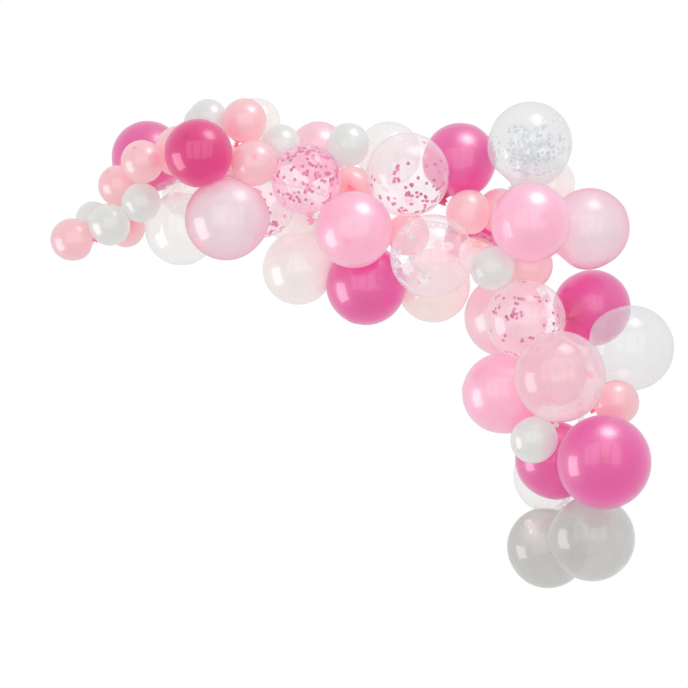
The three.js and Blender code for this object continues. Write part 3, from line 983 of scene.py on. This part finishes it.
def stand_in_floor():
    """A pale square, level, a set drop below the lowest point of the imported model."""
    low = cad_box[0][2] - FLOOR_DROP
    edge = np.array([[-1, -1], [1, -1], [1, 1], [-1, 1]]) * FLOOR_REACH
    points = np.column_stack([edge, np.full(4, low)])
    floor = new_piece("floor", points, [[0, 1, 2, 3]], smooth=False)
    material, tree, out = start_material("pale_floor")
    place = node(tree, "TexCoord").outputs["Object"]
    cloud = node(tree, "TexNoise", {"Vector": place, "Scale": FLOOR_CLOUD_SCALE}).outputs["Fac"]
    dark, light = [colour(shade) for shade in FLOOR_SHADES]
    tint = node(tree, "Mix", {0: cloud, 6: dark, 7: light}, data_type="RGBA")
    shader = node(tree, "BsdfPrincipled", {
        "Base Color": tint.outputs[2],
        "Roughness": FLOOR_ROUGHNESS,
    })
    tree.links.new(shader.outputs[0], out.inputs["Surface"])
    floor.data.materials.append(material)
    floor.visible_glossy = False


stand_in_floor()
print("the floor lies", FLOOR_DROP, "m below the garland")

# %% [markdown]
# ## White all round
# The picture is a cut-out on white, and its balloons are lit nearly evenly from every side. So
# the camera sees plain white, and everything else sees a pale grey world, a little brighter
# behind and above, where the backdrop would be.

# %% Make the world
BRIGHT_WAY = (0.0, 0.78, 0.62)
BRIGHT_SIDE = (0.82, 0.83, 0.85, 1.0)
DIM_SIDE = (0.68, 0.65, 0.65, 1.0)
FULLY = 0.8


def white_world():
    """White where the camera looks past the object. The world that lights it goes smoothly from
    its dim to its bright side, by how far a direction points the bright way."""
    world = bpy.data.worlds.new("studio")
    bpy.context.scene.world = world
    world.use_nodes = True
    tree = world.node_tree
    tree.nodes.clear()
    way = node(tree, "TexCoord").outputs["Generated"]
    high = node(tree, "VectorMath", {0: way, 1: BRIGHT_WAY}, operation="DOT_PRODUCT")
    level = node(tree, "MapRange", {
        "Value": high.outputs["Value"], "From Min": -FULLY, "From Max": FULLY,
    }, interpolation_type="SMOOTHSTEP").outputs["Result"]
    tint = node(tree, "Mix", {0: level, 6: DIM_SIDE, 7: BRIGHT_SIDE}, data_type="RGBA")
    seen = node(tree, "LightPath").outputs["Is Camera Ray"]
    lighting = node(tree, "Background", {"Color": tint.outputs[2], "Strength": 1.0})
    backdrop = node(tree, "Background", {"Color": (1.0, 1.0, 1.0, 1.0), "Strength": 1.0})
    both = node(tree, "MixShader", {0: seen})
    tree.links.new(lighting.outputs[0], both.inputs[1])
    tree.links.new(backdrop.outputs[0], both.inputs[2])
    out = tree.nodes.new("ShaderNodeOutputWorld")
    tree.links.new(both.outputs[0], out.inputs["Surface"])


white_world()
print("the world's bright side points", BRIGHT_WAY)

# %% [markdown]
# ## The lamps
# Each large balloon shows the same three highlights: a round bright one near its top, an upright
# one low on its left, and faint tall stripes across its middle. They come from a softbox, a pale
# card at the left and a row of tall windows in front. Only the softbox lights the skins as well.
# The others are seen by the gloss alone, so the highlights can be strong and the shading even.

# %% Place the lamps
MIDDLE = (-0.1, 0.0, -0.35)
SOFTBOX = {"place": (1.05, -0.95, 2.5), "size": (1.5, 1.5), "radiance": 1.0}
SHINE = {"place": SOFTBOX["place"], "size": (1.1, 1.1), "radiance": 15.0}
REFLECTOR = {"place": (-3.0, -0.6, -1.1), "size": (1.9, 2.4), "radiance": 2.8}
WINDOWS = {"across": (-2.0, -0.65, 0.7, 2.05), "size": (1.15, 3.0), "radiance": 0.8}
WINDOW_FRONT = -2.7
WINDOW_HEIGHT = 0.5
WINDOW_AIM = 0.1


def lamp(name, place, target, size, radiance, lights_skins=False):
    """A soft rectangular light that faces a point. A flat light that shines evenly needs pi
    watts for each square metre and each unit of how bright it looks."""
    light = bpy.data.lights.new(name, "AREA")
    light.shape = "RECTANGLE"
    light.size, light.size_y = size
    light.energy = math.pi * size[0] * size[1] * radiance
    lamp_object = bpy.data.objects.new(name, light)
    bpy.context.scene.collection.objects.link(lamp_object)
    way = np.array(target) - np.array(place)
    lamp_object.location = place
    lamp_object.rotation_euler = Vector(way).to_track_quat("-Z", "Y").to_euler()
    lamp_object.visible_camera = False
    lamp_object.visible_diffuse = lights_skins


lamp("overhead_softbox", target=MIDDLE, lights_skins=True, **SOFTBOX)
lamp("overhead_shine", target=MIDDLE, **SHINE)
lamp("left_reflector", target=MIDDLE, **REFLECTOR)
for number, across in enumerate(WINDOWS["across"]):
    place = (across, WINDOW_FRONT, WINDOW_HEIGHT)
    target = (across, 0.0, WINDOW_AIM)
    lamp(f"front_window_{number}", place, target, WINDOWS["size"], WINDOWS["radiance"])
print(len(bpy.data.lights), "lamps")

# %% [markdown]
# ## The camera
# The camera stands far off and level, as for a catalogue, so that near and far balloons keep
# their true sizes. Its lens and place follow from how many millimetres a pixel of the picture
# is, and from the pixel where the frame's origin lies. The eye may look through many skins.

# %% Place the camera
MM_A_PIXEL = 2.9
PICTURE = 688
ORIGIN_PIXEL = (385, 221)
CAMERA_FAR = 16.0
SENSOR = 36.0
SKINS_SEEN_THROUGH = 40
FARTHEST = 100

scene = bpy.context.scene
scene.view_settings.view_transform = "Standard"
scene.cycles.transparent_max_bounces = SKINS_SEEN_THROUGH
camera_data = bpy.data.cameras.new("camera")
camera = bpy.data.objects.new("camera", camera_data)
scene.collection.objects.link(camera)
metres_a_pixel = MM_A_PIXEL / 1000
middle_x = (PICTURE / 2 - ORIGIN_PIXEL[0]) * metres_a_pixel
middle_z = (ORIGIN_PIXEL[1] - PICTURE / 2) * metres_a_pixel
camera.location = (middle_x, -CAMERA_FAR, middle_z)
camera.rotation_euler = (math.pi / 2, 0, 0)
camera_data.sensor_width = SENSOR
camera_data.lens = SENSOR * CAMERA_FAR / (PICTURE * metres_a_pixel)
camera_data.clip_end = FARTHEST
scene.camera = camera
print("the camera's lens is", round(camera_data.lens), "mm long")

# %% [markdown]
# ## The size
# The box round the imported model is printed. The dressed pieces may stand no more than a hair
# outside the imported model.

# %% Print the size
print("packed:", cad_box)
